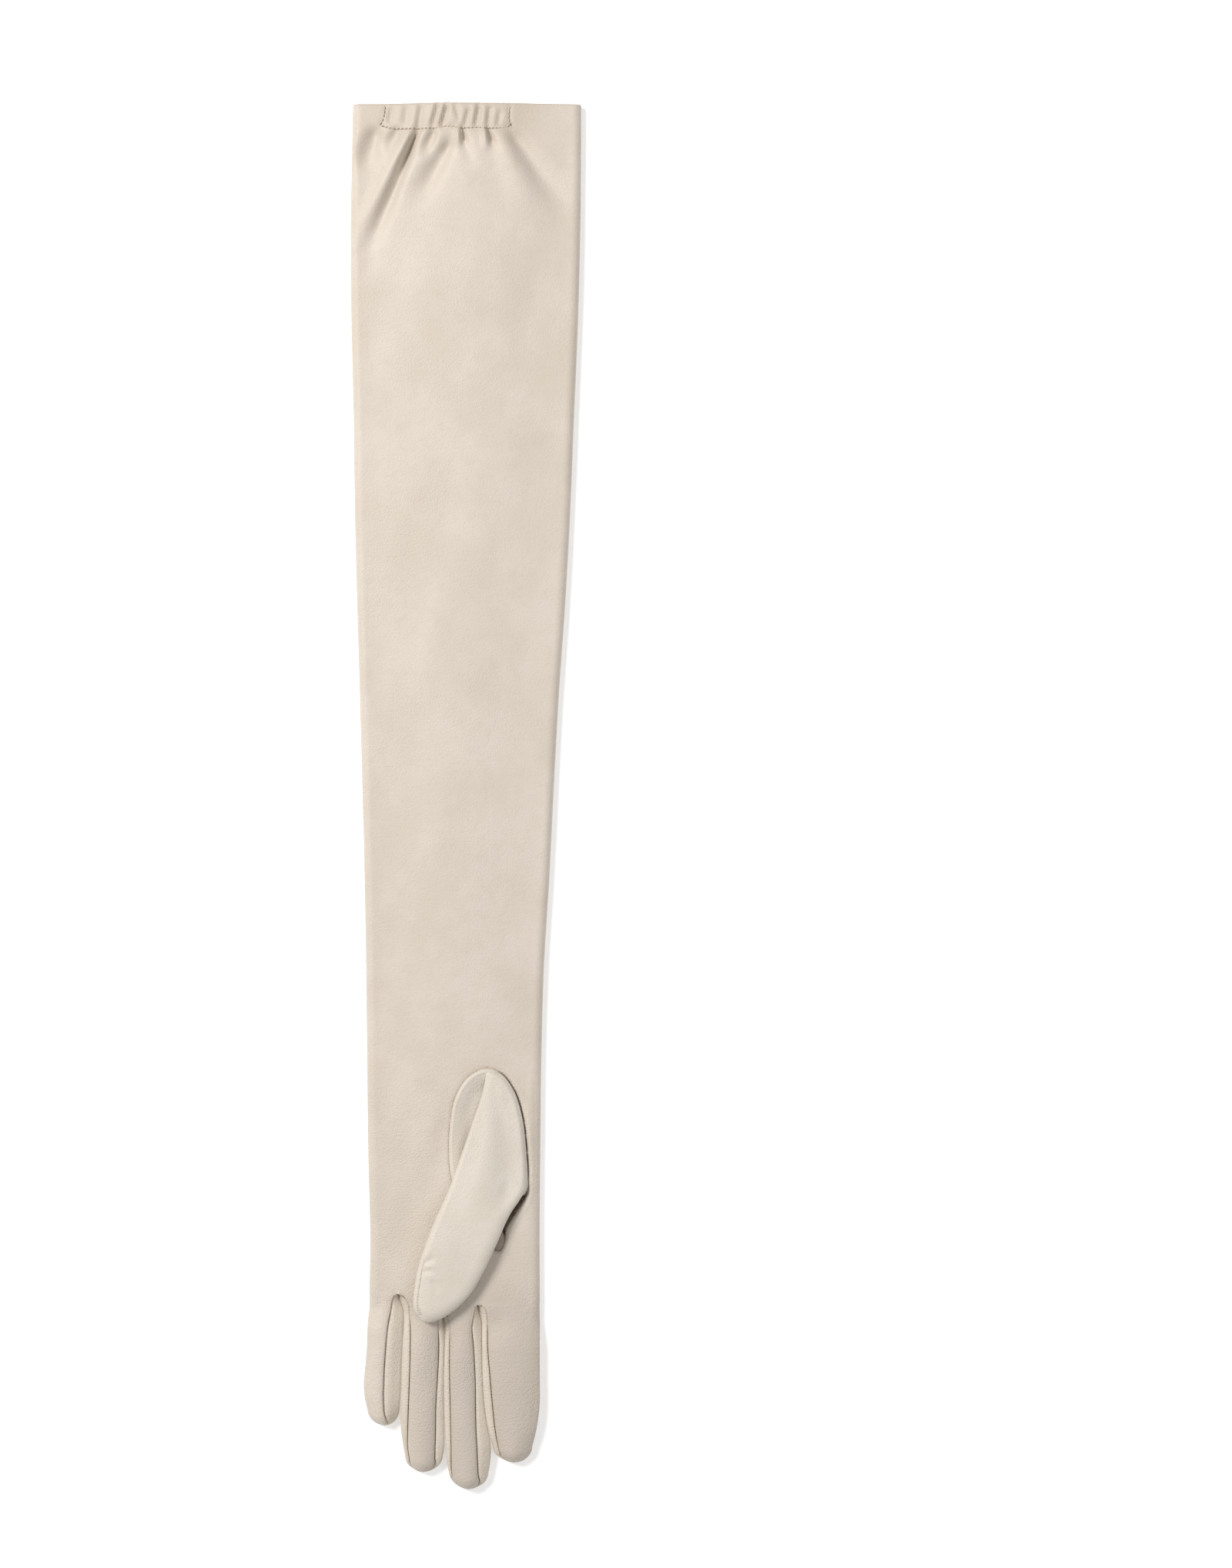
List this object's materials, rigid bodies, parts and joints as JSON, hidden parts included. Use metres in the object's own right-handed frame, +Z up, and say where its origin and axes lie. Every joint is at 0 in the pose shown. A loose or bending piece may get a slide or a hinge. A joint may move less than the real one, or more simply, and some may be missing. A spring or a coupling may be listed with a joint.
{
  "type": "long leather glove",
  "caption": "Opera-length left-hand leather glove lying palm up, thumb folded over the palm, with fourchettes between the fingers and an elasticated gathered cuff.",
  "frame": {"origin": "middle of the glove's bounding box at the surface that it lies on", "axes": "+Y along the arm from the fingertips to the cuff, +X from the little finger to the thumb side, +Z up out of the palm"},
  "size_m": [0.1084, 0.65, 0.0188],
  "materials": {
    "trank_leather": "smooth cream nappa with a fine grain and a soft sheen",
    "fourchette_leather": "the same cream nappa, in narrow sewn-in strips",
    "thumb_leather": "smooth cream nappa, pulled a little smoother over the thumb",
    "casing_leather": "the flesh side of the cream leather"
  },
  "bodies": {
    "root": {"trank": "trank_leather", "little_finger_fourchette": "fourchette_leather", "ring_finger_outer_fourchette": "fourchette_leather", "ring_finger_inner_fourchette": "fourchette_leather", "middle_finger_outer_fourchette": "fourchette_leather", "middle_finger_inner_fourchette": "fourchette_leather", "index_finger_fourchette": "fourchette_leather", "thumb": "thumb_leather", "thumb_quirk": "thumb_leather", "elastic_casing": "casing_leather"}
  },
  "joints": []
}
